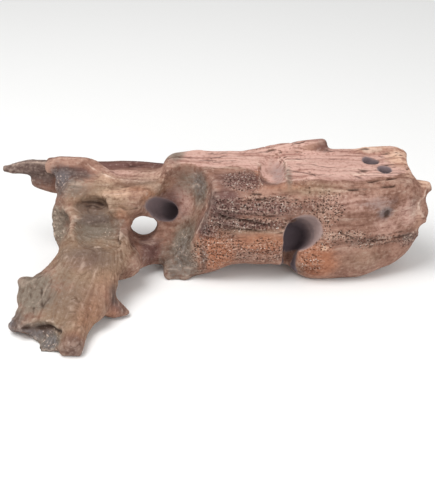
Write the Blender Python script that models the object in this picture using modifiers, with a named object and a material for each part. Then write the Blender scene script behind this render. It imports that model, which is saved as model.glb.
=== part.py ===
"""A piece of mangrove driftwood, as it lies on a table.

A length of old root trunk runs along X. At its left end the wood opens into a
flange that is joined to the trunk by two bars with a hole between them, and a
leg runs from the flange forward and down to the table. A thin root follows the
back of the flange and ends in a free spike at the far left.

Everything grew as one piece, so the model is one closed solid: the limbs are
fused, the hollows that rot and shipworm left are cut out of them, the surface
is weathered, and the feet are worn flat where they touch the table.

All tables are in millimetres. X runs along the trunk, -Y faces the viewer.
"""

import math

import bmesh
import bpy
from mathutils import Euler, Vector

MM = 0.001

# Driving dimensions, in millimetres.
TRUNK_SIDES = 36
LIMB_SIDES = 20
RINGS_PER_SPAN = 3
VOXEL = 2.4
SMOOTH_ROUNDS = 4
TARGET_TRIANGLES = 8400
TABLE_SIZE = (700, 500, 60)

# The tables are laid out from a point on the table near the trunk. The model's own origin is
# the point on the table under the middle of the whole piece, here given in the tables' frame.
ORIGIN = Vector((-4.7, 1.4, 0.0))

# The trunk: x, front y, back y, underside z, top z before it is split flat.
TRUNK = (
    (-59, 58, 98, 20, 102),
    (-49, 38, 109, 4, 121),
    (-30, 24, 113, -5, 126),
    (-8, 19, 113, 1, 126),
    (15, 17, 111, 12, 126),
    (45, 16, 110, 14, 127),
    (72, 16, 110, 10, 128),
    (92, 16, 111, -3, 129),
    (112, 16, 112, -6, 130),
    (134, 18, 112, -5, 130),
    (156, 22, 110, -1, 128),
    (176, 27, 108, 6, 126),
    (188, 31, 104, 11, 124),
    (198, 34, 100, 19, 114),
    (206, 40, 94, 31, 106),
)
TRUNK_SQUARENESS = 3.4

# The flat, split top of the trunk and the slope in front of it: a point on each, and its fall
# towards the front in degrees. SPLIT_SIZE is the size of the slab that each takes off.
SPLITS = {
    "split_top": ((60, 104, 118), 5.0),
    "split_front": ((60, 28, 107), 36.0),
}
SPLIT_SIZE = (420, 170, 60)

# Limbs: each is a row of stations x, y, z, half width across, half thickness.
LIMBS = {
    "flange": (
        (-148, 88, 106, 19, 8),
        (-142, 74, 97, 30, 14),
        (-132, 56, 80, 40, 18),
        (-128, 36, 62, 42, 20),
        (-125, 10, 42, 36, 19),
        (-140, -20, 31, 42, 18),
        (-152, -46, 22, 46, 16),
        (-156, -70, 13, 40, 14),
        (-150, -92, 6, 28, 12),
        (-148, -100, 3, 20, 8),
    ),
    "crest": (
        (-179, 84, 107, 10, 8),
        (-156, 82, 109, 12, 9),
        (-138, 81, 107, 10, 9),
    ),
    "gusset": (
        (-114, 4, 36, 24, 18),
        (-98, 15, 32, 20, 18),
        (-84, 26, 29, 15, 16),
    ),
    "foot": (
        (-140, -50, 24, 16, 14),
        (-138, -80, 13, 15, 15),
        (-138, -109, 5, 11, 12),
    ),
    "heel": (
        (-156, -66, 14, 14, 14),
        (-155, -84, 8, 13, 11),
        (-155, -97, 1, 12, 8),
    ),
    "left_tip": (
        (-160, -44, 22, 18, 14),
        (-184, -62, 10, 15, 10),
        (-202, -70, 4, 9, 7),
    ),
    "knob": (
        (-150, -14, 36, 18, 14),
        (-176, -26, 33, 15, 12),
        (-194, -35, 30, 10, 10),
    ),
    "spur": (
        (-130, -22, 22, 22, 15),
        (-108, -36, 11, 14, 10),
        (-94, -38, 6, 8, 6),
        (-85, -38, 3, 3, 3),
    ),
    "lower_bar": (
        (-118, 14, 28, 22, 18),
        (-100, 34, 24, 18, 17),
        (-70, 56, 20, 15, 16),
        (-36, 68, 24, 20, 20),
    ),
    "upper_bar": (
        (-128, 76, 84, 26, 18),
        (-92, 76, 84, 25, 17),
        (-66, 76, 84, 26, 17),
        (-36, 74, 88, 28, 20),
    ),
    "brow": (
        (-116, 44, 82, 18, 14),
        (-92, 50, 82, 18, 14),
        (-68, 57, 85, 17, 15),
        (-42, 66, 88, 16, 16),
    ),
    "pillar": (
        (-104, 46, 74, 14, 14),
        (-100, 34, 50, 14, 14),
        (-98, 28, 34, 14, 14),
    ),
    "web": (
        (-110, 52, 52, 12, 34),
        (-74, 62, 52, 12, 34),
        (-44, 66, 54, 14, 34),
    ),
    "bore_wall": (
        (-88, 92, 64, 14, 18),
        (-62, 88, 62, 18, 20),
        (-36, 84, 60, 20, 22),
    ),
    "left_foot": (
        (-34, 62, 44, 20, 20),
        (-40, 44, 18, 17, 16),
        (-42, 36, -4, 15, 13),
    ),
    "spike_top": (
        (-40, 100, 92, 10, 10),
        (-84, 105, 93, 8, 8),
        (-130, 106, 94, 8, 8),
        (-176, 104, 96, 8, 8),
        (-208, 104, 94, 6, 6),
        (-230, 105, 93, 3, 3),
    ),
    "spike_flap": (
        (-110, 88, 80, 9, 12),
        (-150, 96, 76, 7, 10),
        (-184, 99, 78, 6, 8),
        (-200, 101, 81, 4, 6),
    ),
    "back_splinter": (
        (10, 100, 106, 9, 8),
        (60, 103, 114, 8, 7),
        (100, 104, 122, 7, 6),
        (115, 104, 123, 6, 5),
    ),
    "end_lump": (
        (148, 98, 102, 12, 10),
        (160, 101, 111, 9, 9),
        (188, 99, 113, 9, 9),
    ),
    "end_plate": (
        (188, 104, 110, 12, 9),
        (189, 82, 108, 12, 8),
        (188, 60, 104, 12, 9),
    ),
    "end_prong": (
        (180, 66, 90, 20, 16),
        (206, 60, 95, 13, 9),
        (221, 59, 98, 8, 7),
    ),
    "end_edge": (
        (202, 54, 90, 12, 10),
        (205, 47, 70, 9, 8),
        (198, 43, 52, 9, 8),
    ),
}
LIMB_SQUARENESS = 2.3

# Hollows: centre x, y, z, radii along x, y, z, and turn about X, Y, Z in degrees.
HOLLOWS = {
    "flange_lid": ((-127, 37, 82), (20, 14, 8.5), (22, 0, 6)),
    "flange_bowl": ((-120, 17, 68), (25, 19, 12), (37, 0, 6)),
    "flange_lobe": ((-108, 8, 61), (14, 10, 10), (37, 0, 0)),
    "flange_bowl_left": ((-160, 28, 67), (12, 17, 11), (37, 0, 0)),
    "flange_edge": ((-184, 54, 92), (21, 24, 22), (0, 0, 0)),
    "trunk_end": ((-36, 0, 100), (31, 74, 104), (0, 18, 0)),
    "trunk_end_left": ((-56, -6, 84), (32, 60, 84), (0, 0, 0)),
    "foot_face": ((-46, 6, 22), (21, 27, 40), (0, 0, 0)),
    "flange_slope": ((-118, 62, 122), (30, 26, 16), (45, 0, -20)),
    "saddle": ((-88, 74, 150), (42, 90, 46), (0, 0, 0)),
    "arch": ((-74, 40, -12), (15, 80, 22), (0, 0, 0)),
    "under_trunk": ((24, 20, -24), (46, 70, 38), (0, 0, 0)),
    "leg_end": ((-173, -101, 19), (25, 23, 17), (0, 0, 0)),
    "leg_undercut": ((-196, -94, 0), (25, 24, 13), (0, 0, 0)),
    "leg_side": ((-184, -8, 60), (32, 34, 28), (0, 0, 0)),
    "leg_notch": ((-214, -52, 20), (20, 10, 8), (0, 0, 0)),
    "leg_inner": ((-86, -14, 8), (23, 20, 30), (0, 0, 0)),
    "knot_slot": ((74, 30, 38), (7, 22, 38), (-20, 0, 0)),
    "knot_scar": ((56, 58, 119), (15, 40, 14), (0, 0, -4)),
    "end_face": ((238, 84, 64), (26, 38, 34), (0, 0, 0)),
    "end_bite": ((224, 92, 118), (25, 36, 34), (0, 0, 0)),
    "back_belly": ((40, 142, 52), (90, 40, 30), (0, 0, 0)),
    "back_left": ((-90, 132, 56), (60, 36, 26), (0, 0, 0)),
}

# Bores of shipworm and knots: stations x, y, z, radius.
BORES = {
    "window": ((-77, 20, 52, 18), (-77, 60, 50, 14.5), (-77, 110, 46, 18)),
    "knot_hole": ((92, 0, 73, 18.5), (82, 26, 58, 16), (73, 52, 38, 12.5)),
    "dark_bore": ((-62, 38, 82, 12), (-56, 62, 66, 11), (-44, 88, 50, 8)),
    "top_bore": ((158, 80, 124, 8), (159, 78, 100, 7), (156, 74, 82, 4)),
    "top_bore_small": ((171, 62, 122, 7), (171, 62, 98, 6), (168, 58, 84, 4)),
    "side_bore": ((172, 16, 82, 3.5), (170, 34, 80, 3), (168, 48, 78, 2)),
}

# Weathering: texture size and depth of the swell, and the size of the long grain.
SWELL_SIZE = 34.0
SWELL_DEPTH = 5.0
GRAIN_SIZE = 7.0
GRAIN_DEPTH = 1.7
GRAIN_STRETCH = 9.0

WOOD_COLOUR = (0.27, 0.15, 0.10, 1.0)
WOOD_ROUGHNESS = 0.85


def clear_scene():
    """Removes every object that the file starts with."""
    for obj in list(bpy.data.objects):
        bpy.data.objects.remove(obj, do_unlink=True)


def new_collection(name):
    """A collection under the scene's own."""
    collection = bpy.data.collections.new(name)
    bpy.context.scene.collection.children.link(collection)
    return collection


def blend_rows(rows, steps):
    """The rows with steps - 1 more between each two, on a smooth curve through them all."""
    out = []
    last = len(rows) - 1
    for i in range(last):
        before, start, end, after = (rows[min(max(j, 0), last)] for j in range(i - 1, i + 3))
        for step in range(steps):
            t = step / steps
            row = []
            for a, b, c, d in zip(before, start, end, after):
                square = 2 * a - 5 * b + 4 * c - d
                cube = 3 * b - a - 3 * c + d
                row.append(b + 0.5 * ((c - a) * t + square * t**2 + cube * t**3))
            out.append(row)
    out.append(list(rows[last]))
    return out


def in_frame(point):
    """A point of the tables, in metres from the model's origin."""
    return (Vector(point) - ORIGIN) * MM


def ring(centre, across, up, half_across, half_up, squareness, sides):
    """Points round a section that is an ellipse at squareness 2 and nears a rectangle above it."""
    points = []
    for i in range(sides):
        angle = 2 * math.pi * i / sides
        c, s = math.cos(angle), math.sin(angle)
        u = math.copysign(abs(c) ** (2 / squareness), c) * half_across
        v = math.copysign(abs(s) ** (2 / squareness), s) * half_up
        points.append(centre + across * u + up * v)
    return points


def loft(name, rings, collection):
    """A closed skin over rings of points, with a pole in the middle of each end."""
    bm = bmesh.new()
    loops = [[bm.verts.new(in_frame(p)) for p in points] for points in rings]
    sides = len(loops[0])
    for low, high in zip(loops, loops[1:]):
        for i in range(sides):
            j = (i + 1) % sides
            bm.faces.new((low[i], low[j], high[j], high[i]))
    for loop, points in ((loops[0], rings[0]), (loops[-1], rings[-1])):
        pole = bm.verts.new(in_frame(sum(points, Vector()) / sides))
        for i in range(sides):
            bm.faces.new((loop[i], loop[(i + 1) % sides], pole))
    bmesh.ops.recalc_face_normals(bm, faces=bm.faces)
    mesh = bpy.data.meshes.new(name)
    bm.to_mesh(mesh)
    bm.free()
    obj = bpy.data.objects.new(name, mesh)
    collection.objects.link(obj)
    return obj


def make_trunk(collection):
    """The trunk: upright sections along X."""
    across, up = Vector((0, 1, 0)), Vector((0, 0, 1))
    rings = []
    for x, front, back, bottom, top in blend_rows(TRUNK, RINGS_PER_SPAN):
        centre = Vector((x, (front + back) / 2, (bottom + top) / 2))
        depth, height = (back - front) / 2, (top - bottom) / 2
        rings.append(ring(centre, across, up, depth, height, TRUNK_SQUARENESS, TRUNK_SIDES))
    return loft("driftwood", rings, collection)


def make_limb(name, stations, collection):
    """A limb: sections square to its path, with the stated half widths and half thicknesses."""
    rows = blend_rows(stations, RINGS_PER_SPAN)
    centres = [Vector(row[:3]) for row in rows]
    rings = []
    for i, row in enumerate(rows):
        along = (centres[min(i + 1, len(rows) - 1)] - centres[max(i - 1, 0)]).normalized()
        side = Vector((0, 1, 0)) if abs(along.x) > 0.75 else Vector((1, 0, 0))
        across = (side - along * side.dot(along)).normalized()
        up = along.cross(across)
        rings.append(ring(centres[i], across, up, row[3], row[4], LIMB_SQUARENESS, LIMB_SIDES))
    return helper(loft(name, rings, collection))


def make_bore(name, stations, collection):
    """A bore: a tube with a changing radius along a smooth path."""
    curve = bpy.data.curves.new(name, "CURVE")
    curve.dimensions = "3D"
    curve.bevel_depth = MM
    curve.bevel_resolution = 4
    curve.use_fill_caps = True
    spline = curve.splines.new("POLY")
    rows = blend_rows(stations, RINGS_PER_SPAN)
    spline.points.add(len(rows) - 1)
    for point, (x, y, z, radius) in zip(spline.points, rows):
        point.co = (*in_frame((x, y, z)), 1)
        point.radius = radius
    tube = bpy.data.objects.new(name + "_curve", curve)
    collection.objects.link(tube)
    bpy.context.view_layer.update()
    graph = bpy.context.evaluated_depsgraph_get()
    mesh = bpy.data.meshes.new_from_object(tube.evaluated_get(graph))
    bm = bmesh.new()
    bm.from_mesh(mesh)
    bmesh.ops.remove_doubles(bm, verts=bm.verts, dist=0.01 * MM)
    bmesh.ops.recalc_face_normals(bm, faces=bm.faces)
    bm.to_mesh(mesh)
    bm.free()
    obj = bpy.data.objects.new(name, mesh)
    obj.matrix_world = tube.matrix_world
    collection.objects.link(obj)
    bpy.data.objects.remove(tube, do_unlink=True)
    return helper(obj)


def make_hollow(name, centre, radii, turn, collection):
    """A hollow: an ellipsoid that is cut away."""
    bm = bmesh.new()
    bmesh.ops.create_uvsphere(bm, u_segments=32, v_segments=20, radius=MM)
    bmesh.ops.scale(bm, vec=radii, verts=bm.verts)
    mesh = bpy.data.meshes.new(name)
    bm.to_mesh(mesh)
    bm.free()
    obj = bpy.data.objects.new(name, mesh)
    obj.location = in_frame(centre)
    obj.rotation_euler = Euler([math.radians(a) for a in turn])
    collection.objects.link(obj)
    return helper(obj)


def helper(obj):
    """Marks a shape that only joins or cuts the wood."""
    obj.hide_render = True
    obj.display_type = "WIRE"
    return obj


def add_boolean(obj, name, operation, collection):
    """Fuses or cuts with everything in a collection."""
    modifier = obj.modifiers.new(name, "BOOLEAN")
    modifier.operation = operation
    modifier.operand_type = "COLLECTION"
    modifier.collection = collection
    modifier.solver = "EXACT"
    return modifier


def add_weathering(obj, name, size, stretch, depth, collection):
    """Moves the surface in and out by a noise that can be drawn out along the trunk."""
    space = bpy.data.objects.new(name + "_space", None)
    space.location = in_frame((0, 0, 0))
    space.scale = (stretch, 1, 1)
    collection.objects.link(space)
    texture = bpy.data.textures.new(name, "CLOUDS")
    texture.noise_scale = size * MM
    texture.noise_depth = 2
    modifier = obj.modifiers.new(name, "DISPLACE")
    modifier.texture = texture
    modifier.texture_coords = "OBJECT"
    modifier.texture_coords_object = space
    modifier.strength = depth * MM
    modifier.mid_level = 0.5
    return modifier


def make_slab(name, size, lift, collection):
    """A box cutter that stands on its origin at lift 0.5, and hangs from it at lift -0.5."""
    bm = bmesh.new()
    bmesh.ops.create_cube(bm, size=1)
    bmesh.ops.translate(bm, vec=(0, 0, lift), verts=bm.verts)
    bmesh.ops.scale(bm, vec=Vector(size) * MM, verts=bm.verts)
    mesh = bpy.data.meshes.new(name)
    bm.to_mesh(mesh)
    bm.free()
    obj = bpy.data.objects.new(name, mesh)
    collection.objects.link(obj)
    return helper(obj)


def bodies_of(bm):
    """The vertices of each separate body in a mesh, the largest body first."""
    seen = set()
    bodies = []
    for start in bm.verts:
        if start in seen:
            continue
        seen.add(start)
        body = [start]
        for vert in body:
            for edge in vert.link_edges:
                other = edge.other_vert(vert)
                if other not in seen:
                    seen.add(other)
                    body.append(other)
        bodies.append(body)
    return sorted(bodies, key=len, reverse=True)


def settle(obj):
    """Makes the modified shape the object's own mesh, without the loose scraps of the cuts."""
    bpy.context.view_layer.update()
    graph = bpy.context.evaluated_depsgraph_get()
    mesh = bpy.data.meshes.new_from_object(obj.evaluated_get(graph))
    bm = bmesh.new()
    bm.from_mesh(mesh)
    for scrap in bodies_of(bm)[1:]:
        bmesh.ops.delete(bm, geom=scrap, context="VERTS")
    bm.to_mesh(mesh)
    bm.free()
    obj.modifiers.clear()
    obj.data = mesh


def make_wood_material():
    """Weathered, unfinished wood."""
    material = bpy.data.materials.new("weathered_wood")
    material.use_nodes = True
    shader = material.node_tree.nodes["Principled BSDF"]
    shader.inputs["Base Color"].default_value = WOOD_COLOUR
    shader.inputs["Roughness"].default_value = WOOD_ROUGHNESS
    shader.inputs["Metallic"].default_value = 0.0
    return material


def main():
    clear_scene()
    wood = new_collection("mangrove_driftwood")
    limbs = new_collection("limbs")
    hollows = new_collection("hollows")
    tables = new_collection("tables")
    splits = new_collection("splits")

    trunk = make_trunk(wood)
    trunk.data.materials.append(make_wood_material())
    for name, stations in LIMBS.items():
        make_limb(name, stations, limbs)
    for name, (centre, radii, turn) in HOLLOWS.items():
        make_hollow(name, centre, radii, turn, hollows)
    for name, stations in BORES.items():
        make_bore(name, stations, hollows)
    make_slab("table", TABLE_SIZE, -0.5, tables)
    for name, (point, fall) in SPLITS.items():
        split = make_slab(name, SPLIT_SIZE, 0.5, splits)
        split.location = in_frame(point)
        split.rotation_euler.x = math.radians(fall)

    add_boolean(trunk, "cut_splits", "DIFFERENCE", splits)
    add_boolean(trunk, "fuse_limbs", "UNION", limbs)
    add_boolean(trunk, "cut_hollows", "DIFFERENCE", hollows)

    remesh = trunk.modifiers.new("even_skin", "REMESH")
    remesh.mode = "VOXEL"
    remesh.voxel_size = VOXEL * MM
    smooth = trunk.modifiers.new("worn_edges", "SMOOTH")
    smooth.factor = 0.5
    smooth.iterations = SMOOTH_ROUNDS
    add_weathering(trunk, "swell", SWELL_SIZE, 1.0, SWELL_DEPTH, wood)
    add_weathering(trunk, "grain", GRAIN_SIZE, GRAIN_STRETCH, GRAIN_DEPTH, wood)

    bpy.context.view_layer.update()
    graph = bpy.context.evaluated_depsgraph_get()
    fine = trunk.evaluated_get(graph).data
    fine.calc_loop_triangles()
    decimate = trunk.modifiers.new("fewer_faces", "DECIMATE")
    decimate.ratio = min(1.0, TARGET_TRIANGLES / len(fine.loop_triangles))
    add_boolean(trunk, "flat_feet", "DIFFERENCE", tables)
    settle(trunk)


main()
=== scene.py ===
"""Looks of a piece of mangrove driftwood that lies on a pale table.

The wood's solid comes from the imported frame. Its skin is copied, made finer where the eye
rests, and carved with what water, borers and drying leave on such wood: long furrows along
the grain, splits on the flat top, worm pits on the front and worn ridges. What the carving
knows about each point is kept in attributes, which the wood's material reads.

Places are in millimetres in the layout frame, where x = 0 is near the trunk's middle, y = 0
near its front and z = 0 on the table. LAYOUT_SHIFT takes them to the frame of the part.
"""
import logging
import math
from dataclasses import dataclass, field
from enum import Enum

import bmesh
import bpy
import numpy as np
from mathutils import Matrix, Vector


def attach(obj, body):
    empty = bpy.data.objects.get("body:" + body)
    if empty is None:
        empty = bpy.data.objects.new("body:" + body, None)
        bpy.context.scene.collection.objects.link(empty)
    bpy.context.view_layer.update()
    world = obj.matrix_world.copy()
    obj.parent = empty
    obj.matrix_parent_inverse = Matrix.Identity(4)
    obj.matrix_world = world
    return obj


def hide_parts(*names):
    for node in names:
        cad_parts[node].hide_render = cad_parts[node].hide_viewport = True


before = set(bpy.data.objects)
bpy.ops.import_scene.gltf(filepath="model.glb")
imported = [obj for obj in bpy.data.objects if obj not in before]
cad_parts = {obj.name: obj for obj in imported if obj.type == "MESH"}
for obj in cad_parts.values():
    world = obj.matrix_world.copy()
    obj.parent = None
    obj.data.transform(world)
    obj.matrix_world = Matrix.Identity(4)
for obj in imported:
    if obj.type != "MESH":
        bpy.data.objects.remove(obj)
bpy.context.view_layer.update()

LOG = logging.getLogger("driftwood")
MM = 0.001
Array = np.ndarray
Object = bpy.types.Object
Socket = bpy.types.NodeSocket
LAYOUT_SHIFT = np.array((4.7, -1.4, 0.0))

# The factors and shifts that mix a cell's numbers.
MIX_X, MIX_Y, MIX_Z, MIX_SEED = 374761393, 668265263, 2246822519, 3266489917
SHIFT_WIDE, SHIFT_NARROW = np.uint32(15), np.uint32(13)

# How the grain of the leg lies in the layout frame: its own x, y and z as columns.
LEG_GRAIN = np.array(((-0.30, 0.95, 0.0), (-0.86, -0.27, -0.43), (-0.41, -0.13, 0.90)))


class Tone(Enum):
    """The tones of the wood and the painted shade in the bores, each with a mask attribute of its
    name.
    """

    ROSE = "rose"
    PLUM = "plum"
    RUST = "rust"
    OLIVE = "olive"
    TAN = "tan"
    SAND = "sand"
    BARK = "bark"
    SLATE = "slate"
    # Painted shade in the bores, not a tone of the wood itself.
    CHAR = "char"


@dataclass(frozen=True)
class WeatheredMangrove:
    """Bare mangrove root wood, bleached, stained and bored in brackish water.

    It is matt and dry, pinkish where split, red-brown below, and grey-olive where it rotted.
    The patterns' sizes are in millimetres along and across the grain. What follows pore_size
    says how strongly each mark shows, and the relief's height is in millimetres.
    """

    name: str = "weathered_mangrove"
    umber: str = "#a07c6c"
    umber_dark: str = "#825f51"
    rose: str = "#c49e92"
    plum: str = "#5f4240"
    rust: str = "#a66e52"
    olive: str = "#776e62"
    sand: str = "#8a725e"
    bark: str = "#5e4f4a"
    tan: str = "#cfaa92"
    slate: str = "#68676b"
    lining: str = "#95827f"
    # Painted shade deep in the bores.
    char: str = "#544b54"
    # A dark brown for grime and for painted shade in hollows, grooves, pits and the side bore.
    dirt_and_shade: str = "#38271f"
    shade: str = "#a07a6b"
    bone: str = "#dcc3b2"
    grit: str = "#f3e9df"
    roughness: float = 0.88
    specular: float = 0.22
    streak: tuple = (46.0, 2.2, 2.2)
    fibre: tuple = (16.0, 0.8, 0.8)
    band: tuple = (120.0, 7.0, 7.0)
    mottle: tuple = (18.0, 18.0, 18.0)
    speckle: tuple = (3.6, 3.6, 3.6)
    crumb: tuple = (2.4, 2.4, 2.4)
    pore_size: float = 1.5
    band_mark: float = 0.6
    speckle_shade: float = 0.4
    speckle_light: float = 0.14
    streak_shade: float = 0.4
    fibre_light: float = 0.18
    # Painted shade in hollows.
    hollow_shade: float = 0.45
    # Pale worn edges, with painted highlight on bulges.
    worn_edge_and_highlight: float = 0.26
    ridge_light: float = 0.5
    # The next two: grime and painted shade in grooves and pores.
    groove_dirt_and_shade: float = 0.8
    pore_dirt_and_shade: float = 0.8
    pore_light: float = 0.2
    crumb_mark: float = 0.5
    grit_light: float = 0.75
    lining_mark: float = 0.85
    # Strength of the painted shade in the bores.
    hole_shade_mark: float = 0.8
    relief_strength: float = 0.6
    relief_height: float = 0.6


@dataclass(frozen=True)
class PaleTable:
    """A matt white table top, with no pattern that could be taken for the wood."""

    name: str = "pale_table"
    white: str = "#efefee"
    roughness: float = 0.9


@dataclass(frozen=True)
class Dab:
    """A soft patch of a tone.

    at and reach are its middle and radii in millimetres, and strength its height.
    """

    at: tuple
    reach: tuple
    strength: float = 1.0


@dataclass(frozen=True)
class Push:
    """A soft patch of the skin that is moved.

    at and reach are its middle and radii, and by is how far it moves, in millimetres.
    """

    at: tuple
    reach: tuple
    by: tuple


@dataclass(frozen=True)
class Stroke:
    """A line carved or raised on the skin.

    path holds points in millimetres, width is the half width of the line and height its
    height, negative for a groove. tint says how dark a groove is, or how pale a ridge.
    """

    path: tuple
    width: float
    height: float
    tint: float = 0.0


def dabs_of(*rows: tuple) -> tuple:
    """Makes dabs of rows of numbers.

    Args:
        rows: Each one's middle, its three radii and, where it is not 1, its strength.

    Returns:
        The dabs.
    """
    return tuple(Dab(row[:3], row[3:6], *row[6:]) for row in rows)


def strokes_of(*rows: tuple) -> tuple:
    """Makes strokes of rows of numbers.

    Args:
        rows: Each one's half width, height and tint, and then its points.

    Returns:
        The strokes.
    """
    return tuple(Stroke(tuple(zip(r[3::3], r[4::3], r[5::3])), *r[:3]) for r in rows)


def linear(code: str) -> tuple:
    """Turns an sRGB hex colour to linear values.

    Args:
        code: The colour, such as "#8d6657".

    Returns:
        Red, green, blue and alpha.
    """
    parts = [int(code[i:i + 2], 16) / 255 for i in (1, 3, 5)]
    red, green, blue = (c / 12.92 if c <= 0.04045 else ((c + 0.055) / 1.055) ** 2.4 for c in parts)
    return red, green, blue, 1.0


def ramp(low: float, high: float, value: Array) -> Array:
    """A smooth step from 0 at low to 1 at high.

    Args:
        low: Where the step starts.
        high: Where it ends. It may lie below low.
        value: The values to step.

    Returns:
        The stepped values.
    """
    t = np.clip((value - low) / (high - low), 0.0, 1.0)
    return t * t * (3.0 - 2.0 * t)


def scatter(cells: Array, seed: int) -> Array:
    """A fixed random number from 0 to 1 for each whole-numbered cell.

    Args:
        cells: Whole numbers, three to a row.
        seed: Picks another set of numbers.

    Returns:
        One number for each row.
    """
    c = cells.astype(np.int64).astype(np.uint32)
    h = c[..., 0] * np.uint32(MIX_X) + c[..., 1] * np.uint32(MIX_Y)
    h = h + c[..., 2] * np.uint32(MIX_Z) + np.uint32(seed * MIX_SEED % 2**32)
    h = (h ^ (h >> SHIFT_WIDE)) * np.uint32(MIX_Z)
    h = (h ^ (h >> SHIFT_NARROW)) * np.uint32(MIX_SEED)
    h = h ^ (h >> (SHIFT_WIDE + np.uint32(1)))
    return h.astype(np.float64) / 2**32


def cloud(points: Array, seed: int) -> Array:
    """Smooth noise from -1 to 1 with features one unit wide.

    Args:
        points: Places, three numbers to a row.
        seed: Picks another pattern.

    Returns:
        One value for each row.
    """
    base = np.floor(points)
    part = points - base
    part = part * part * (3.0 - 2.0 * part)
    total = np.zeros(len(points))
    for corner in np.ndindex(2, 2, 2):
        weight = np.ones(len(points))
        for axis, step in enumerate(corner):
            weight *= part[:, axis] if step else 1.0 - part[:, axis]
        total += weight * scatter(base + np.array(corner), seed)
    return total * 2.0 - 1.0


def clouds(points: Array, seed: int, octaves: int = 3) -> Array:
    """Noise with finer noise on it, each octave half the size and half the height.

    Args:
        points: Places, three numbers to a row.
        seed: Picks another pattern.
        octaves: How many sizes of noise there are.

    Returns:
        One value from -1 to 1 for each row.
    """
    total, height, full = np.zeros(len(points)), 1.0, 0.0
    for i in range(octaves):
        total += height * cloud(points * 2.0**i, seed + i)
        full += height
        height *= 0.5
    return total / full


def pores(points: Array, seed: int) -> tuple:
    """The distance to the nearest of scattered pores, about one to each unit cell.

    Args:
        points: Places, three numbers to a row.
        seed: Picks another scatter.

    Returns:
        The distance to the nearest pore, and that pore's own random number.
    """
    base = np.floor(points)
    near = np.full(len(points), 9.0)
    own = np.zeros(len(points))
    for step in np.ndindex(3, 3, 3):
        cell = base + np.array(step) - 1
        spot = np.stack([scatter(cell, seed + k) for k in range(3)], axis=1)
        gap = np.linalg.norm(cell + 0.15 + 0.7 * spot - points, axis=1)
        closer = gap < near
        near = np.where(closer, gap, near)
        own = np.where(closer, spot[:, 0], own)
    return near, own


def distance_to(path: tuple, points: Array) -> Array:
    """The distance from each point to a path of straight pieces.

    Args:
        path: The path's points.
        points: Places, three numbers to a row.

    Returns:
        One distance for each row.
    """
    knots = np.array(path, float)
    best = np.full(len(points), 1e9)
    for start, end in zip(knots, knots[1:]):
        along = end - start
        t = np.clip((points - start) @ along / (along @ along), 0.0, 1.0)
        best = np.minimum(best, np.linalg.norm(points - start - t[:, None] * along, axis=1))
    return best


def only(obj: Object) -> None:
    """Selects one object alone and makes it active.

    Args:
        obj: The object.
    """
    bpy.ops.object.select_all(action="DESELECT")
    obj.select_set(True)
    bpy.context.view_layer.objects.active = obj


def apply_modifier(obj: Object, kind: str, **settings) -> None:
    """Adds one modifier with its settings and applies it.

    Args:
        obj: The object to change.
        kind: The modifier's type.
        settings: The modifier's values.
    """
    modifier = obj.modifiers.new(kind.lower(), kind)
    for key, value in settings.items():
        setattr(modifier, key, value)
    only(obj)
    bpy.ops.object.modifier_apply(modifier=modifier.name)


def add_node(
    tree: bpy.types.NodeTree, kind: str, settings: dict | None = None, links: dict | None = None
) -> bpy.types.Node:
    """Adds a node with its settings and links.

    Args:
        tree: The material's node tree.
        kind: The node's type, without its "ShaderNode".
        settings: Values by the name of a property, or by the name or number of an input.
        links: Sockets to link from, by the name or number of an input.

    Returns:
        The node.
    """
    node = tree.nodes.new("ShaderNode" + kind)
    for key, value in (settings or {}).items():
        if isinstance(key, str) and hasattr(node, key):
            setattr(node, key, value)
        else:
            node.inputs[key].default_value = value
    for key, socket in (links or {}).items():
        tree.links.new(socket, node.inputs[key])
    return node


# How strongly each tone covers what lies under it, in the order in which they are laid.
TONE_STRENGTHS = {
    Tone.SAND: 1.0, Tone.RUST: 0.85, Tone.ROSE: 1.0, Tone.PLUM: 0.85,
    Tone.OLIVE: 0.9, Tone.BARK: 0.85, Tone.SLATE: 0.8, Tone.TAN: 0.85,
}

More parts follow.
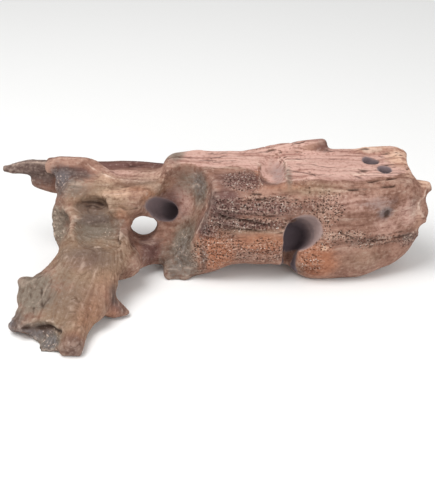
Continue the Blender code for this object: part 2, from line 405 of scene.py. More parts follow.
# Where each tone lies.
TONE_DABS = {
    Tone.SAND: dabs_of(
        (-128, -10, 50, 52, 60, 40), (-142, -70, 24, 40, 50, 30), (-118, 44, 84, 44, 34, 30, 0.9),
        (-70, 60, 92, 30, 30, 16, 0.8), (-36, 50, 60, 24, 30, 50, 0.5), (40, 17, 66, 50, 8, 5, 0.6),
        (50, 17, 56, 34, 8, 10, 0.5), (146, 26, 30, 44, 16, 18, 0.4), (96, 30, 106, 40, 10, 8, 0.7),
    ),
    Tone.ROSE: dabs_of(
        (-154, 84, 117, 30, 12, 5, 0.2), (-104, 82, 103, 30, 14, 8, 0.6),
        (-76, 72, 103, 30, 14, 8, 0.5), (140, 22, 96, 50, 12, 12, 0.45),
        (176, 26, 66, 26, 12, 14, 0.4), (196, 34, 80, 18, 12, 18, 0.6),
        (-38, 66, 72, 18, 22, 24, 0.65),
    ),
    Tone.PLUM: dabs_of(
        (22, 42, 110, 34, 20, 10, 0.85), (8, 22, 94, 24, 14, 22), (48, 20, 92, 48, 14, 12, 0.75),
        (30, 18, 74, 48, 10, 7, 0.8), (-12, 22, 66, 14, 14, 12, 0.9),
        (-158, 70, 107, 18, 8, 9, 0.8), (-142, 68, 106, 16, 8, 8, 0.8),
        (-205, 102, 92, 50, 20, 24, 0.7), (-72, 44, 28, 16, 20, 16, 0.9),
        (-84, 104, 98, 70, 12, 10, 0.9), (110, 106, 122, 12, 12, 10, 0.9),
        (-98, -44, 18, 12, 10, 9, 0.6), (196, 38, 46, 16, 16, 12, 0.5),
        (-96, 22, 66, 10, 12, 16, 0.55), (-56, 72, 70, 24, 30, 22, 0.8),
    ),
    Tone.RUST: dabs_of(
        (-4, 20, 38, 24, 14, 34), (48, 18, 52, 44, 14, 14, 0.8), (100, 18, 30, 26, 14, 26),
        (-98, 30, 66, 10, 14, 24, 0.55), (-122, -76, 26, 18, 40, 20, 0.45),
        (-134, -104, 10, 14, 16, 18, 0.7), (-110, -36, 36, 20, 28, 20, 0.3),
        (-136, -20, 50, 24, 16, 10, 0.35), (-102, -56, 10, 12, 16, 9, 0.45),
        (41, 66, 110, 4, 28, 10, 0.9), (-44, 60, 92, 20, 12, 14, 0.5),
        (-78, 50, 92, 20, 12, 10, 0.6), (60, 34, 108, 44, 8, 6, 0.5),
    ),
    Tone.OLIVE: dabs_of(
        (-34, 40, 30, 22, 26, 40), (-46, 44, 12, 16, 28, 20, 0.9), (-18, 58, 94, 16, 30, 20, 0.8),
        (-30, 66, 96, 18, 18, 20, 0.65), (-44, 90, 114, 10, 22, 8, 0.9),
        (-122, 24, 66, 28, 24, 14, 0.9), (-166, 34, 64, 16, 26, 26),
        (-180, -48, 36, 28, 44, 22, 0.95), (-194, -66, 20, 16, 20, 14, 0.8),
        (-150, 57, 95, 20, 14, 12, 0.7), (-152, -30, 44, 14, 40, 14, 0.4),
        (-172, -92, 10, 32, 22, 20), (72, 50, 110, 5, 26, 8, 0.7), (86, 34, 22, 8, 20, 16, 0.6),
        (200, 38, 84, 10, 20, 16, 0.4), (200, 92, 116, 6, 30, 10, 0.5),
    ),
    Tone.BARK: dabs_of(
        (-200, 100, 96, 50, 26, 22), (-162, 64, 98, 12, 24, 18), (-154, 70, 107, 20, 7, 6),
        (-140, 64, 104, 14, 8, 8, 0.9), (-130, -12, 52, 36, 24, 14, 0.65),
        (-144, -60, 34, 40, 34, 20, 0.4), (-102, -40, 22, 8, 8, 10, 0.8),
        (-14, 20, 78, 8, 12, 22, 0.7), (-140, 52, 95, 18, 12, 8, 0.5),
        # The next two darken the hollow under the flange's lid: partly its bark tone, partly
        # painted shade.
        (-128, 44, 79, 24, 18, 10, 0.65), (-126, 32, 72, 24, 12, 7, 0.75),
        (-124, 22, 62, 24, 14, 8, 0.35), (-182, -86, 12, 22, 12, 9), (-166, -82, 14, 16, 9, 7, 0.8),
        (-198, -68, 12, 14, 14, 14, 0.9), (-134, -106, 10, 16, 14, 18, 0.85),
        (-190, -74, 17, 18, 8, 6, 0.7), (-92, -46, 14, 8, 10, 10, 0.6),
        (-72, 66, 96, 26, 16, 10, 0.5), (6, 20, 78, 22, 10, 26, 0.5),
        (-102, -38, 26, 9, 12, 14, 0.7), (-88, 26, 40, 8, 20, 10, 0.5),
        (-8, 24, 100, 12, 18, 14, 0.6), (-14, 22, 30, 5, 10, 30, 0.7),
        (150, 22, 52, 40, 12, 6, 0.5), (196, 36, 50, 14, 12, 8, 0.7),
    ),
    Tone.TAN: dabs_of(
        (-100, 46, 92, 20, 10, 7, 0.75), (190, 84, 118, 18, 28, 8, 0.9),
        (164, 100, 119, 26, 10, 8, 0.8), (196, 62, 110, 10, 16, 6, 0.6),
        (212, 58, 102, 12, 12, 6, 0.7), (109, 16, 47, 4, 4, 4, 0.9), (-70, 70, 103, 26, 12, 7, 0.4),
        (-112, 62, 103, 14, 8, 6, 0.4), (206, 40, 70, 6, 10, 20, 0.3),
    ),
    Tone.SLATE: dabs_of(
        (170, 28, 83, 10, 14, 9, 0.7), (160, 26, 94, 26, 14, 8, 0.45),
        (-34, 40, 24, 18, 24, 28, 0.4), (-44, 40, 12, 16, 24, 16, 0.4),
        (-180, -88, 9, 26, 14, 9, 0.6), (-160, -92, 6, 14, 12, 8, 0.7),
        (-202, -68, 10, 12, 12, 10, 0.7), (63, 64, 107, 10, 34, 9, 0.5),
        (-22, 54, 100, 12, 24, 16, 0.5), (-160, 68, 100, 16, 14, 12, 0.6),
    ),
}

# Where borers pitted the wood.
PIT_DABS = dabs_of(
    (27, 42, 111, 26, 20, 12), (40, 18, 94, 58, 14, 12), (30, 18, 74, 60, 12, 9),
    (-6, 20, 42, 26, 16, 40), (50, 20, 42, 30, 14, 18, 0.95), (20, 20, 40, 30, 14, 16, 0.85),
    (108, 18, 90, 24, 14, 24, 0.65), (106, 16, 56, 20, 12, 16, 0.8), (130, 20, 60, 24, 16, 9, 0.8),
    (166, 26, 50, 40, 16, 7, 0.75), (196, 40, 46, 14, 16, 10, 0.9), (94, 18, 26, 18, 14, 20, 0.7),
    (-14, 26, 64, 10, 14, 34), (84, 40, 108, 26, 12, 8, 0.5),
)

# Where water rounded the wood: the rot pockets of the flange and the knot hole's wall.
SOFT_DABS = dabs_of(
    (-126, 34, 74, 34, 34, 24), (-162, 34, 66, 20, 30, 24), (90, 30, 60, 16, 14, 18, 0.8),
)

# Where the wood crumbled to coarse, pale-flecked grains.
CRUMBLED_DABS = dabs_of(
    (-166, 34, 64, 14, 24, 24), (-110, 20, 60, 14, 20, 10, 0.7), (-162, 62, 98, 12, 20, 16, 0.8),
    (-162, -94, 8, 26, 18, 14), (-34, 42, 28, 16, 20, 28, 0.9), (-200, 100, 96, 50, 26, 22, 0.5),
    (200, 38, 50, 14, 14, 9, 0.8), (-12, 30, 92, 8, 14, 24, 0.6),
)

# The side bore's small hole, painted dark as shade.
SIDE_BORE_SHADE_DABS = dabs_of((171, 28, 81, 3.2, 8, 5))

# The scar of a broken twig, bare of grain.
SCAR_DABS = dabs_of((57, 64, 107, 15, 30, 8))

# How far to the front the pink split top reaches: x and y.
TOP_EDGE = (
    (-50, 72), (-5, 68), (30, 62), (44, 56), (66, 42), (120, 38), (150, 42), (175, 48), (204, 56),
)

# The large bores and the knot hole, as in the solid: x, y, z and radius along each one's axis.
HOLES = {
    "knot_hole": ((92, 0, 73, 18.5), (82, 26, 58, 16), (73, 52, 38, 12.5)),
    "knot_slot": ((74, 24, 50, 8), (74, 32, 30, 8.5), (74, 30, 12, 8)),
    "dark_bore": ((-62, 38, 82, 12), (-56, 62, 66, 11), (-44, 88, 50, 8)),
    "top_bore": ((158, 80, 124, 8), (159, 78, 100, 7), (156, 74, 82, 4)),
    "top_bore_small": ((171, 62, 122, 7), (171, 62, 98, 6), (168, 58, 84, 4)),
}

# Cracks and grooves, the longest along the grain.
SPLITS = strokes_of(
    (1, -1.6, 0.7, -40, 84, 117, 0, 88, 116, 36, 90, 116),
    (0.8, -1.2, 0.5, -44, 76, 115, -10, 80, 115, 26, 80, 115),
    (0.8, -1.2, 0.5, -10, 94, 116, 40, 96, 117, 80, 98, 119),
    (0.9, -1.8, 0.8, 78, 82, 116, 104, 84, 117, 134, 82, 116),
    (1, -2.2, 0.9, 82, 72, 115, 100, 70, 116, 114, 66, 115, 138, 64, 114),
    (1.1, -2.4, 0.9, 72, 60, 113, 84, 56, 114, 98, 51, 114, 118, 50, 113),
    (0.9, -1.4, 0.5, 74, 44, 111, 96, 42, 112, 126, 44, 112),
    (0.8, -1.2, 0.5, 120, 56, 113, 142, 58, 113, 162, 56, 112),
    (1, -2, 0.8, 84, 92, 119, 106, 94, 121, 120, 98, 123),
    (0.8, -1.6, 0.7, 96, 100, 122, 112, 102, 123),
    (1.6, -3.4, 1, 152, 38, 112, 164, 41, 112, 179, 45, 112),
    (1.3, -2.6, 0.8, 118, 28, 110, 140, 27, 108, 160, 29, 109, 184, 36, 109),
    (0.8, -1.2, 0.5, 132, 22, 101, 156, 23, 100, 180, 30, 99),
    (0.7, -0.8, 0.4, 140, 20, 94, 160, 22, 92, 184, 29, 92),
    (1.4, -2.6, 0.9, -6, 24, 100, 14, 22, 99, 40, 21, 100, 70, 22, 101),
    (0.9, -1.6, 0.8, -2, 26, 105, 20, 26, 104, 44, 25, 104),
    (0.9, -1.6, 0.8, -4, 20, 94, 12, 19, 93, 30, 18, 92),
    (1.8, -2.6, 0.7, -2, 17, 84, 20, 17, 79, 46, 17, 74, 74, 17, 70),
    (1, -1.6, 0.8, 6, 17, 88, 30, 17, 85, 56, 17, 83),
    (1.2, -1.6, 0.6, 14, 17, 69, 40, 17, 66, 70, 17, 64),
    (1.3, -1.8, 0.45, 122, 17, 64, 136, 18, 57, 152, 22, 51, 176, 28, 50, 198, 36, 52),
    (1.3, -1.8, 0.8, 148, 21, 43, 168, 26, 45, 192, 35, 47),
    (0.9, -1.4, 0.7, 160, 25, 56, 180, 30, 56, 204, 38, 58),
    (1.2, -1.4, 0.5, 201, 36, 76, 204, 38, 66, 208, 40, 56),
    (1.2, -1.6, 0.6, 214, 46, 92, 214, 44, 80, 216, 45, 70),
    (2.4, -3, 0.9, -200, 101, 92, -150, 99, 88, -110, 96, 90),
    (1.4, -2, 0.8, -150, 100, 101, -110, 99, 101, -60, 99, 99),
    (1.4, -1.6, 0.7, -216, 98, 100, -200, 97, 99, -184, 93, 96),
    (0.9, -1.8, 0.9, -171, -46, 37, -170, -56, 33, -169, -66, 29),
    (0.8, -1.4, 0.8, -162, -56, 34, -166, -62, 31, -169, -66, 29),
    (0.8, -1.4, 0.7, -182, -44, 38, -181, -56, 32, -180, -66, 27),
    (0.8, -1.4, 0.7, -176, -64, 27, -177, -74, 24), (0.8, -1.2, 0.6, -158, -66, 29, -158, -78, 24),
    (0.9, -0.9, 0.3, -142, -40, 42, -134, -62, 34, -132, -84, 26),
    (0.9, -0.8, 0.3, -150, -10, 50, -136, -24, 46, -122, -46, 40),
    # The next three, under the flange's lid and along the bowl's top edge, are shallow grooves
    # whose dark tint is painted shadow.
    (1.4, -1.2, 0.7, -146, 42, 80, -136, 46, 83, -124, 48, 82, -114, 46, 80),
    (1, -1, 0.8, -138, 44, 79, -128, 46, 80, -120, 46, 78),
    (1.6, -1.6, 0.8, -134, 31, 71, -122, 31, 71, -112, 31, 69),
    # The side bore's hole: a short groove with the darkest tint, painted shade.
    (1.9, -2.4, 1.6, 171, 28, 79, 171, 28, 84),
    (1, -1.6, 1, 154, 38, 112, 166, 41, 112, 177, 44, 112),
    # The next two, just inside the scar's rims, are shallow grooves whose dark tint is painted
    # shadow.
    (1.3, -0.9, 0.5, 70, 86, 112, 71, 60, 109, 67, 38, 105),
    (1.3, -0.7, 0.4, 44, 86, 112, 46, 60, 109, 49, 36, 105),
    (1.2, -1.2, 0.6, -105, 32, 88, -98, 31, 86, -91, 33, 83, -81, 36, 83),
    (1.4, -1, 0.4, -134, 74, 109, -124, 66, 104, -112, 58, 100),
    (0.9, -1, 0.5, -116, 50, 95, -102, 55, 95, -88, 58, 97),
    (1.4, -1.6, 0.5, -160, 66, 102, -148, 58, 98, -130, 54, 95),
    (1.2, -1.2, 0.5, -163, 62, 98, -157, 52, 90, -153, 42, 80, -150, 28, 72),
    (1.8, -2.4, 0.7, -104, 16, 62, -98, 12, 54, -96, 4, 46),
    (1.2, -1, 0.4, -140, -2, 54, -120, -6, 53, -104, -2, 54),
    (1.8, -2.4, 0.8, -94, 2, 44, -90, 12, 42, -90, 24, 44),
    (2.2, -3, 1.2, -196, -69, 12, -184, -81, 14, -170, -80, 14, -158, -84, 18, -149, -94, 20),
    (1.2, -1.4, 0.7, -184, -84, 9, -172, -84, 10, -160, -88, 12),
)

# Worn ridges and rims that stand out of the skin, and one flat pale line of painted highlight.
RIDGES = strokes_of(
    (1.6, 1, 0.6, -6, 70, 114, -3, 50, 112, -5, 28, 104),
    (1.8, 1.4, 0.6, -6, 26, 102, -11, 24, 90, -14, 23, 76, -24, 26, 54, -27, 28, 20),
    (2.6, 0.8, 0.1, -147, 44, 86, -146, 26, 72, -147, 8, 58),
    (1.6, 1.4, 0.6, -143, 4, 57, -133, 1, 57, -123, 0, 56),
    (1.5, 1.8, 1.2, -123, 1, 56, -114, 6, 53, -106, 11, 53, -100, 13, 56, -97, 16, 62),
    (2, 1.2, 0.5, -97, 16, 62, -99, 22, 66, -100, 30, 74),
    (1, 0.7, 1, -113, 53, 98, -100, 58, 98, -88, 62, 100),
    (2.6, 1.4, 0.4, -118, 46, 90, -104, 44, 88, -90, 42, 90),
    (2, 1, 0.4, -156, -17, 48, -152, -40, 42, -150, -62, 36, -148, -84, 26),
    (1.6, 1.4, 0.5, -198, -66, 16, -184, -78, 19, -170, -76, 21, -155, -82, 23),
    (1.6, 1.4, 0.8, -155, -82, 23, -147, -92, 24, -141, -102, 19, -139, -110, 10),
    (1.6, 1.2, 0.4, 40, 90, 114, 41, 60, 112, 44, 28, 108),
    (2, 2, 0.9, 72, 88, 114, 73, 60, 112, 70, 34, 108),
    (1.6, 2, 0.9, 214, 50, 98, 210, 47, 91, 204, 39, 87, 206, 38, 77, 212, 41, 64),
    (1.2, 0.6, 0.4, 198, 36, 98, 198, 36, 88, 197, 35, 76),
    (1.4, 0.8, 0.6, 150, 34, 110, 166, 38, 111, 182, 41, 110),
    (1.4, 0.8, 0.4, 140, 25, 103, 166, 27, 103, 190, 36, 103),
    (2.2, 1, 0.4, -60, 46, 92, -66, 52, 72, -60, 58, 56),
    (1.5, 1.4, 1, -134, 79, 113, -130, 74, 110, -121, 69, 106, -111, 63, 103),
    (1.5, 1.2, 0.9, -111, 63, 103, -101, 64, 100, -85, 63, 100, -71, 61, 101),
    (1.3, 1, 0.4, 0, 18, 91, 24, 17, 89, 60, 17, 87),
    (1.3, 1, 0.4, -2, 17, 76, 30, 17, 70, 70, 17, 67),
    (1.1, 0.8, 0.4, 0, 24, 102, 26, 23, 101, 60, 23, 101),
    (2, 1.2, 0.5, -194, -44, 38, -183, -40, 42, -169, -32, 45, -156, -17, 50),
    (4.5, 2.4, 0.5, 150, 100, 117, 176, 100, 119, 188, 96, 120, 190, 82, 116),
    # Flat and pale along the front edge of the right end's lip: painted highlight.
    (4, 0, 1.2, 156, 96, 118, 172, 95, 120, 188, 92, 119),
    (2, 1.4, 0.5, 190, 82, 114, 192, 68, 112, 194, 54, 110),
)

# Where the ends broke back further or stand out more.
PUSHES = (
    Push((208, 84, 99), (17, 30, 17), (-13, 0, 0)),
    Push((-205, 100, 102), (30, 10, 5), (0, 0, 2)),
    Push((212, 46, 66), (9, 14, 16), (2.5, 0, 0)),
    Push((202, 44, 46), (9, 14, 9), (2, 0, 0)),
)

# Bites out of the right end and the leg's hollow end.
BITES = strokes_of(
    (4, -2, 0, 208, 42, 58, 212, 50, 54), (8, -3, 0, -168, -90, 6, -156, -96, 10),
)


class WoodShader:
    """Lays the wood's tones and marks over each other in a node tree.

    colour is the socket of all that has been laid so far.
    """

    def __init__(self, tree: bpy.types.NodeTree, look: WeatheredMangrove) -> None:
        """Makes the patterns that more than one mark uses.

        Args:
            tree: An empty node tree.
            look: The finish to build in it.
        """
        self.tree = tree
        self.look = look
        self.place = add_node(tree, "TexCoord").outputs["Object"]
        self.lines = add_node(tree, "Attribute", {"attribute_name": "grain"}).outputs["Vector"]
        self.grained = self.mask("grained")
        self.mottle = self.noise(self.place, look.mottle, 4.0, 3.0)
        self.speckle = self.noise(self.place, look.speckle, 3.0, 11.0)
        self.streak = self.noise(self.lines, look.streak, 3.0, 5.0)
        self.fibre = self.noise(self.lines, look.fibre, 2.0, 9.0)
        across = self.times(self.calc("SUBTRACT", self.speckle, 0.5), 0.6)
        along = self.times(self.calc("SUBTRACT", self.streak, 0.5), self.grained)
        self.ragged = self.calc("ADD", across, self.times(along, 0.5))
        self.colour = add_node(
            tree,
            "Mix",
            {"data_type": "RGBA", 6: linear(look.umber_dark), 7: linear(look.umber)},
            {0: self.step(self.mottle, 0.3, 0.65)},
        ).outputs[2]

    def build(self) -> None:
        """Lays every tone and mark, and links the shader."""
        self.tones()
        self.grain_marks()
        self.wear()
        pore = self.pits()
        self.holes()
        self.surface(pore)

    def mask(self, name: str) -> Socket:
        """The value of a mask attribute."""
        return add_node(self.tree, "Attribute", {"attribute_name": name}).outputs["Fac"]

    def calc(self, operation: str, *values) -> Socket:
        """A sum, product or other result of sockets and numbers."""
        numbers = {i: value for i, value in enumerate(values) if isinstance(value, float)}
        links = {i: value for i, value in enumerate(values) if not isinstance(value, float)}
        return add_node(self.tree, "Math", {"operation": operation, **numbers}, links).outputs[0]

    def times(self, one, two) -> Socket:
        """The product of two sockets, or of a socket and a number."""
        return self.calc("MULTIPLY", one, two)

    def step(self, value: Socket, low: float, high: float) -> Socket:
        """A smooth step of a socket from 0 at low to 1 at high."""
        settings = {"interpolation_type": "SMOOTHSTEP", 1: low, 2: high}
        return add_node(self.tree, "MapRange", settings, {0: value}).outputs[0]

    def rough_step(self, value: Socket, low: float, high: float) -> Socket:
        """A smooth step whose rim is frayed by the grain and the speckles."""
        return self.step(self.calc("ADD", value, self.ragged), low, high)

    def noise(self, space: Socket, size: tuple, detail: float, seed: float) -> Socket:
        """Noise with features of a size in millimetres along each axis.

        Args:
            space: The coordinates.
            size: The features' size along x, y and z.
            detail: How many finer sizes there are.
            seed: Picks another part of the pattern.

        Returns:
            The noise's socket.
        """
        scale = tuple(1.0 / (s * MM) for s in size)
        settings = {"Scale": scale, "Location": (seed,) * 3}
        shifted = add_node(self.tree, "Mapping", settings, {"Vector": space}).outputs[0]
        settings = {"Scale": 1.0, "Detail": detail, "Roughness": 0.55}
        return add_node(self.tree, "TexNoise", settings, {"Vector": shifted}).outputs["Fac"]

    def lay(self, code: str, factor: Socket, strength: float, blend: str = "MIX") -> None:
        """Lays a colour over what there is.

        Args:
            code: The colour, as sRGB hex.
            factor: Where it lies, from 0 to 1.
            strength: How much of it shows there.
            blend: How it mixes with what lies under it.
        """
        settings = {"data_type": "RGBA", "blend_type": blend, 7: linear(code)}
        links = {0: self.times(factor, strength), 6: self.colour}
        self.colour = add_node(self.tree, "Mix", settings, links).outputs[2]

    def tones(self) -> None:
        """The broad tones of the wood."""
        for tone, strength in TONE_STRENGTHS.items():
            cover = self.rough_step(self.mask(tone.value), 0.05, 0.95)
            self.lay(getattr(self.look, tone.value), cover, strength)

    def grain_marks(self) -> None:
        """Bands, speckles, streaks and fibres."""
        look = self.look
        bands = self.noise(self.lines, look.band, 2.0, 17.0)
        dark = self.times(self.step(bands, 0.52, 0.34), self.grained)
        light = self.times(self.step(bands, 0.58, 0.8), self.grained)
        self.lay(look.shade, dark, look.band_mark, "MULTIPLY")
        self.lay(look.bone, light, look.band_mark)
        self.lay(look.shade, self.step(self.speckle, 0.52, 0.3), look.speckle_shade, "MULTIPLY")
        self.lay(look.bone, self.step(self.speckle, 0.54, 0.72), look.speckle_light)
        streaks = self.times(self.step(self.streak, 0.5, 0.32), self.grained)
        self.lay(look.shade, streaks, look.streak_shade, "MULTIPLY")
        fibres = self.times(self.step(self.fibre, 0.56, 0.78), self.grained)
        self.lay(look.bone, fibres, look.fibre_light)

    def wear(self) -> None:
        """Painted shade in the hollows; grime and painted shade in the grooves, pits and side bore;
        pale worn edges with painted highlight, and pale ridges, one of them painted highlight.
        """
        look = self.look
        # Painted shade: darker in small and broad hollows.
        self.lay(look.dirt_and_shade, self.step(self.mask("hollow"), 0.05, 1.0), look.hollow_shade)
        # Pale on bulging points: partly worn edges, partly painted highlight.
        self.lay(look.bone, self.rough_step(self.mask("worn"), 0.2, 1.1), look.worn_edge_and_highlight)
        self.lay(look.bone, self.rough_step(self.mask("ridge"), 0.2, 1.0), look.ridge_light)
        # Dark in grooves, pits and the side bore: partly grime, partly painted shade.
        self.lay(look.dirt_and_shade, self.step(self.mask("dirt_and_shade"), 0.05, 0.9), look.groove_dirt_and_shade)

    def pits(self) -> Socket:
        """The finest pores, the crumbled grains and the pale grit.

        Returns:
            Where the pores are.
        """
        look = self.look
        settings = {"Scale": (1 / (look.pore_size * MM),) * 3}
        fine = add_node(self.tree, "Mapping", settings, {"Vector": self.lines}).outputs[0]
        cells = add_node(self.tree, "TexVoronoi", {"Scale": 1.0}, {"Vector": fine})
        gap = cells.outputs["Distance"]
        own = add_node(self.tree, "SeparateColor", {}, {0: cells.outputs["Color"]}).outputs
        dense = self.rough_step(self.mask("pitted"), 0.15, 0.7)
        pore = self.times(self.step(gap, 0.4, 0.2), self.step(own[0], 0.2, 0.3))
        pore = self.times(pore, dense)
        # Dark pores: partly grime, partly painted shade in the pits.
        self.lay(look.dirt_and_shade, pore, look.pore_dirt_and_shade)
        self.lay(look.bone, self.times(self.step(own[2], 0.7, 0.8), dense), look.pore_light)
        crumbled = self.rough_step(self.mask("crumbled"), 0.3, 0.8)
        crumb = self.noise(self.place, look.crumb, 3.0, 21.0)
        self.lay(look.bone, self.times(self.step(crumb, 0.58, 0.68), crumbled), look.crumb_mark)
        self.lay(look.dirt_and_shade, self.times(self.step(crumb, 0.42, 0.3), crumbled), look.crumb_mark)
        grit = self.times(self.step(gap, 0.45, 0.25), self.step(own[1], 0.88, 0.92))
        grit = self.times(grit, self.times(dense, self.step(self.mottle, 0.4, 0.6)))
        self.lay(look.grit, grit, look.grit_light)
        return pore

    def holes(self) -> None:
        """The lining of the bores, with painted shade that darkens it the deeper it lies."""
        self.lay(self.look.lining, self.mask("lining"), self.look.lining_mark)
        self.lay(self.look.char, self.mask(Tone.CHAR.value), self.look.hole_shade_mark)

    def surface(self, pore: Socket) -> None:
        """The fine relief and the shader.

        Args:
            pore: Where the pores are.
        """
        look = self.look
        relief = self.times(self.calc("ADD", self.streak, self.fibre), self.grained)
        relief = self.calc("ADD", relief, self.speckle)
        relief = self.calc("SUBTRACT", relief, self.times(pore, 0.8))
        settings = {"Strength": look.relief_strength, "Distance": look.relief_height * MM}
        bump = add_node(self.tree, "Bump", settings, {"Height": relief})
        shader = add_node(
            self.tree,
            "BsdfPrincipled",
            {"Roughness": look.roughness, "Specular IOR Level": look.specular},
            {"Base Color": self.colour, "Normal": bump.outputs[0]},
        )
        add_node(self.tree, "OutputMaterial", {}, {"Surface": shader.outputs[0]})


@dataclass
class Driftwood:
    """The piece of wood: a fine, carved copy of the solid's skin.

    Lengths are in millimetres. The names that end in size are the lengths of one wave of a form
    along and across the grain.
    """

    node: str = "driftwood"
    voxel: float = 2.3
    first_smooth: int = 5
    later_smooth: int = 2
    faces: int = 190000
    softening: int = 10
    furrow_depth: float = 0.7
    furrow_size: tuple = (90.0, 3.2, 3.2)
    ripple_height: float = 0.5
    ripple_size: tuple = (34.0, 5.5, 5.5)
    pit_size: tuple = (2.8, 2.0, 2.0)
    pit_depth: float = 1.2
    gnaw_depth: float = 1.5
    gnaw_size: tuple = (8.0, 3.0, 3.0)
    rot_height: float = 1.1
    rot_size: float = 10.0
    crease_depth: float = 0.7
    crease_size: tuple = (26.0, 9.0, 9.0)
    crumb_height: float = 1.3
    crumb_size: float = 3.6
    narrowest: float = 1.15
    finish: WeatheredMangrove = field(default_factory=WeatheredMangrove)

    def build(self) -> Object:
        """Makes the wood's skin, carves it and dresses it.

        Returns:
            The finished piece.
        """
        wood = self.copy_solid()
        self.soften(wood)
        self.refine(wood)
        self.carve(wood)
        self.thin_out(wood)
        self.tone(wood)
        only(wood)
        bpy.ops.object.shade_smooth()
        wood.data.materials.clear()
        wood.data.materials.append(self.material())
        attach(wood, "root")
        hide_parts(self.node)
        LOG.info("%s: %d faces", wood.name, len(wood.data.polygons))
        return wood

    def copy_solid(self) -> Object:
        """Copies the solid's mesh, joins its triangles and gives it an even skin.

        Returns:
            The new object.
        """
        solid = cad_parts[self.node]
        wood = bpy.data.objects.new("mangrove_wood", solid.data.copy())
        bpy.context.scene.collection.objects.link(wood)
        joined = bmesh.new()
        joined.from_mesh(wood.data)
        bmesh.ops.remove_doubles(joined, verts=joined.verts, dist=0.01 * MM)
        joined.to_mesh(wood.data)
        joined.free()
        apply_modifier(wood, "REMESH", mode="VOXEL", voxel_size=self.voxel * MM)
        apply_modifier(wood, "SMOOTH", factor=0.5, iterations=self.first_smooth)
        return wood

    def soften(self, wood: Object) -> None:
        """Rounds the rims of the rot pockets, as running water does.

        Args:
            wood: The piece.
        """
        points, _ = self.points(wood)
        group = wood.vertex_groups.new(name="soft")
        for i, weight in enumerate(self.dabs(points, SOFT_DABS)):
            if weight > 0.01:
                group.add((i,), float(weight), "REPLACE")
        apply_modifier(wood, "SMOOTH", factor=0.8, iterations=self.softening, vertex_group="soft")
        wood.vertex_groups.clear()

    def thin_out(self, wood: Object) -> None:
        """Joins faces where the skin is smooth, down to the number that it may have.

        Args:
            wood: The piece.
        """
        wood.data.calc_loop_triangles()
        share = min(1.0, self.faces / len(wood.data.loop_triangles))
        apply_modifier(wood, "DECIMATE", ratio=share)

    def points(self, wood: Object) -> tuple:
        """Reads the skin's points and normals.

        Args:
            wood: The piece.

        Returns:
            Points in millimetres in the layout frame, and normals, three numbers to a row.
        """
        count = len(wood.data.vertices)
        places = np.empty(count * 3)
        wood.data.vertices.foreach_get("co", places)
        normals = np.empty(count * 3)
        wood.data.vertex_normals.foreach_get("vector", normals)
        return places.reshape(-1, 3) / MM - LAYOUT_SHIFT, normals.reshape(-1, 3)

    def refine(self, wood: Object) -> None:
        """Splits the faces that show most, and those of the pitted front twice.

        Args:
            wood: The piece.
        """
        for level in (1, 2):
            points, normals = self.points(wood)
            if level == 1:
                seen = self.shows(points, normals)
            else:
                seen = self.pitted(points, normals) > 0.2
            for items in (wood.data.polygons, wood.data.edges, wood.data.vertices):
                items.foreach_set("select", [False] * len(items))
            chosen = [all(seen[v] for v in face.vertices) for face in wood.data.polygons]
            wood.data.polygons.foreach_set("select", chosen)
            only(wood)
            bpy.ops.object.mode_set(mode="EDIT")
            bpy.ops.mesh.select_mode(type="FACE")
            bpy.ops.mesh.subdivide(number_cuts=1, ngon=False)
            bpy.ops.object.mode_set(mode="OBJECT")
            apply_modifier(wood, "SMOOTH", factor=0.5, iterations=self.later_smooth)

    def shows(self, points: Array, normals: Array) -> Array:
        """Says which points face up or to the front, where the wood is seen.

        Args:
            points: Places in the layout frame.
            normals: Their normals.

        Returns:
            True or False for each point.
        """
        return (normals[:, 2] * 0.6 - normals[:, 1] * 0.8 > 0.0) & (points[:, 2] > 3.0)

    def pitted(self, points: Array, normals: Array) -> Array:
        """How densely borers pitted the wood.

        Args:
            points: Places in the layout frame.
            normals: Their normals.

        Returns:
            A value from 0 to 1 for each point.
        """
        front = ramp(0.75, 0.3, normals[:, 0] * -1.0) * ramp(0.3, -0.1, normals[:, 1])
        return self.dabs(points, PIT_DABS) * front * ramp(0.1, 0.5, 1.0 - self.in_holes(points)[0])

    def grain(self, points: Array) -> Array:
        """Places along and across the grain, which turns down along the leg.

        Args:
            points: Places in the layout frame.

        Returns:
            The grain's own coordinates, three numbers to a row.
        """
        warp = np.stack([clouds(points / 40.0, 40 + k, 2) for k in range(3)], axis=1)
        bent = points + warp * np.array((2.0, 4.0, 4.0))
        leg = ramp(-84, -122, points[:, 0]) * ramp(26, -4, points[:, 1])
        return bent * (1 - leg[:, None]) + bent @ LEG_GRAIN * leg[:, None]

    def top(self, points: Array, normals: Array) -> Array:
        """How much of the split, pink top there is at each point.

        Args:
            points: Places in the layout frame.
            normals: Their normals.

        Returns:
            A value from 0 to 1 for each point.
        """
        x, y, z = points.T
        front, back = zip(*TOP_EDGE)
        ragged = clouds(points / np.array((16.0, 6.0, 6.0)), 95, 3)
        limit = np.interp(x, front, back) + 7.0 * ragged
        above = ramp(0.45, 0.8, normals[:, 2]) * ramp(100, 106, z)
        return above * ramp(-54, -46, x) * ramp(-3.0, 3.0, y - limit)

    def in_holes(self, points: Array) -> tuple:
        """Which points lie inside a bore, and how deep down it.

        Args:
            points: Places in the layout frame.

        Returns:
            From 0 outside to 1 inside, and from 0 at the mouth to 1 at the bottom.
        """
        depth, deep = np.zeros(len(points)), np.zeros(len(points))
        for name, path in HOLES.items():
            knots = np.array(path, float)
            for i, (start, end) in enumerate(zip(knots, knots[1:])):
                along = end[:3] - start[:3]
                t = np.clip((points - start[:3]) @ along / (along @ along), 0.0, 1.0)
                radius = start[3] + t * (end[3] - start[3])
                gap = np.linalg.norm(points - start[:3] - t[:, None] * along, axis=1)
                inside = ramp(radius + 2.2, radius + 0.4, gap)
                depth = np.maximum(depth, inside)
                far = (i + t) / (len(knots) - 1) if name.startswith("knot") else 0.68
                deep = np.maximum(deep, inside * far)
        return depth, deep

